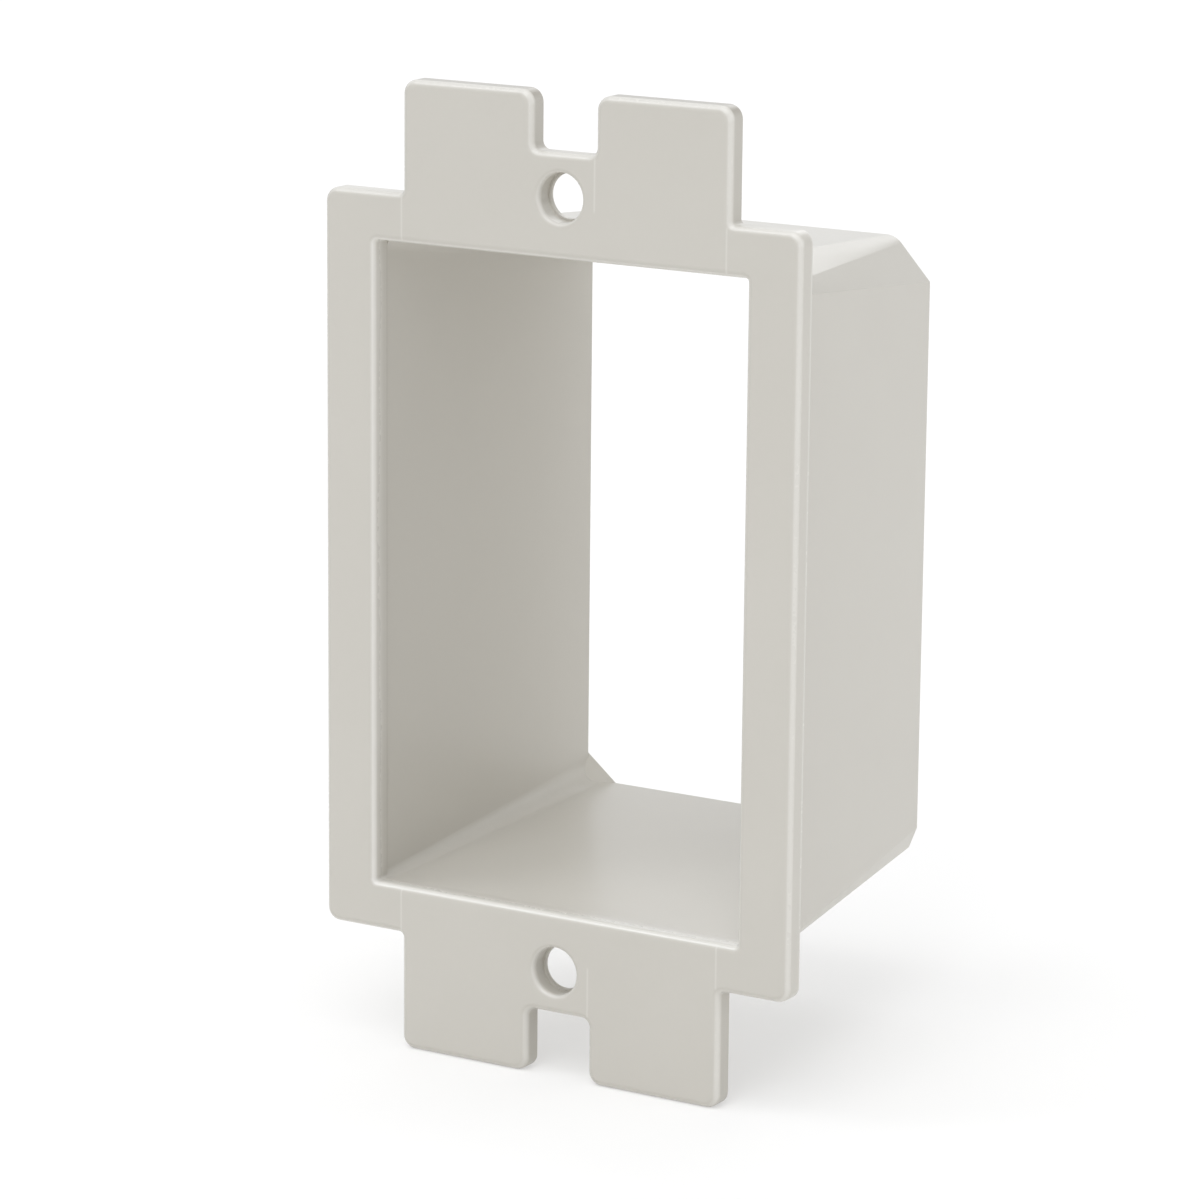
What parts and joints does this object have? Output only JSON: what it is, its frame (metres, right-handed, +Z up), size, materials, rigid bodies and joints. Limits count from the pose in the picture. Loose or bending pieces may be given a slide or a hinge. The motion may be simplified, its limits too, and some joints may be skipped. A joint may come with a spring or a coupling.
{
  "type": "electrical box extender",
  "caption": "Flat flange with notched ears and screw holes in front of an open rectangular sleeve that brings a recessed electrical box out to the wall surface.",
  "frame": {"origin": "midway between the screw holes, on the back face of the flange, which lies against the wall", "axes": "+X to the right seen from the front, +Y to the rear along the sleeve, +Z up along the line of the screw holes"},
  "size_m": [0.058, 0.0412, 0.1061],
  "materials": {
    "plastic": "satin, moulded, warm light grey"
  },
  "bodies": {
    "root": {"box_extender": "plastic"}
  },
  "joints": []
}
